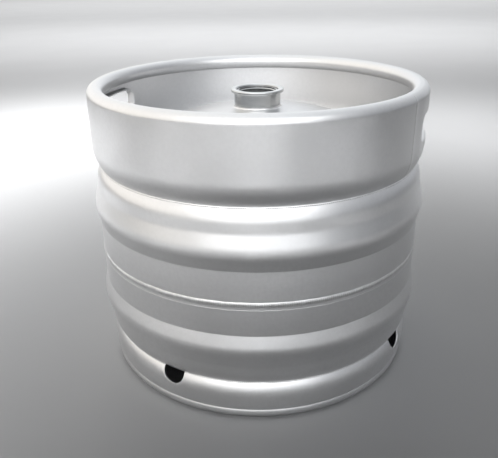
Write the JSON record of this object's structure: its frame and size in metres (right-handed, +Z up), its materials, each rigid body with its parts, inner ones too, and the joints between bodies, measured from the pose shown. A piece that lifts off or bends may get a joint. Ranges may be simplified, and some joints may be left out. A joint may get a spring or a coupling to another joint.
{
  "type": "beer keg",
  "caption": "Short stainless steel beer keg with rolled rims, hand holes, rolling rings and a neck holding a spring-loaded extractor valve.",
  "frame": {"origin": "centre of the foot ring's resting face, on the keg's axis, at floor level", "axes": "+Z up along the keg's axis; front is -Y; the two hand holes are close to +X and -X"},
  "size_m": [0.41, 0.4098, 0.35],
  "materials": {
    "drawn_steel": "satin, glass-bead blasted",
    "chime_steel": "satin, glass-bead blasted",
    "weld_steel": "pickled weld bead",
    "turned_steel": "fine turned, semi-bright",
    "tube_steel": "drawn tube, semi-bright",
    "spring_steel": "bright drawn wire",
    "ball_steel": "polished",
    "seal_rubber": "moulded, matte"
  },
  "bodies": {
    "keg": {"upper_shell": "drawn_steel", "lower_shell": "drawn_steel", "girth_weld": "weld_steel", "top_chime": "chime_steel", "top_chime_seam": "weld_steel", "top_chime_weld": "weld_steel", "bottom_chime": "chime_steel", "bottom_chime_seam": "weld_steel", "bottom_chime_weld": "weld_steel", "neck": "turned_steel", "neck_weld": "weld_steel", "valve_housing": "turned_steel", "housing_seal": "seal_rubber", "lock_ring": "spring_steel", "gas_spring": "spring_steel", "spring_cage": "tube_steel"},
    "siphon": {"gas_seal": "seal_rubber", "siphon_tube": "tube_steel", "beer_spring": "spring_steel"},
    "ball": {"beer_ball": "ball_steel"}
  },
  "joints": [
    {"name": "gas_valve_slide", "type": "slide", "parent": "keg", "child": "siphon", "axis": [0, 0, -1], "range_m": [0, 0.005], "stiffness_N_per_m": 6000, "springref_m": -0.012, "deforming": ["gas_spring"]},
    {"name": "beer_valve_slide", "type": "slide", "parent": "siphon", "child": "ball", "axis": [0, 0, -1], "range_m": [0, 0.006], "stiffness_N_per_m": 900, "springref_m": -0.008, "deforming": ["beer_spring"]}
  ]
}
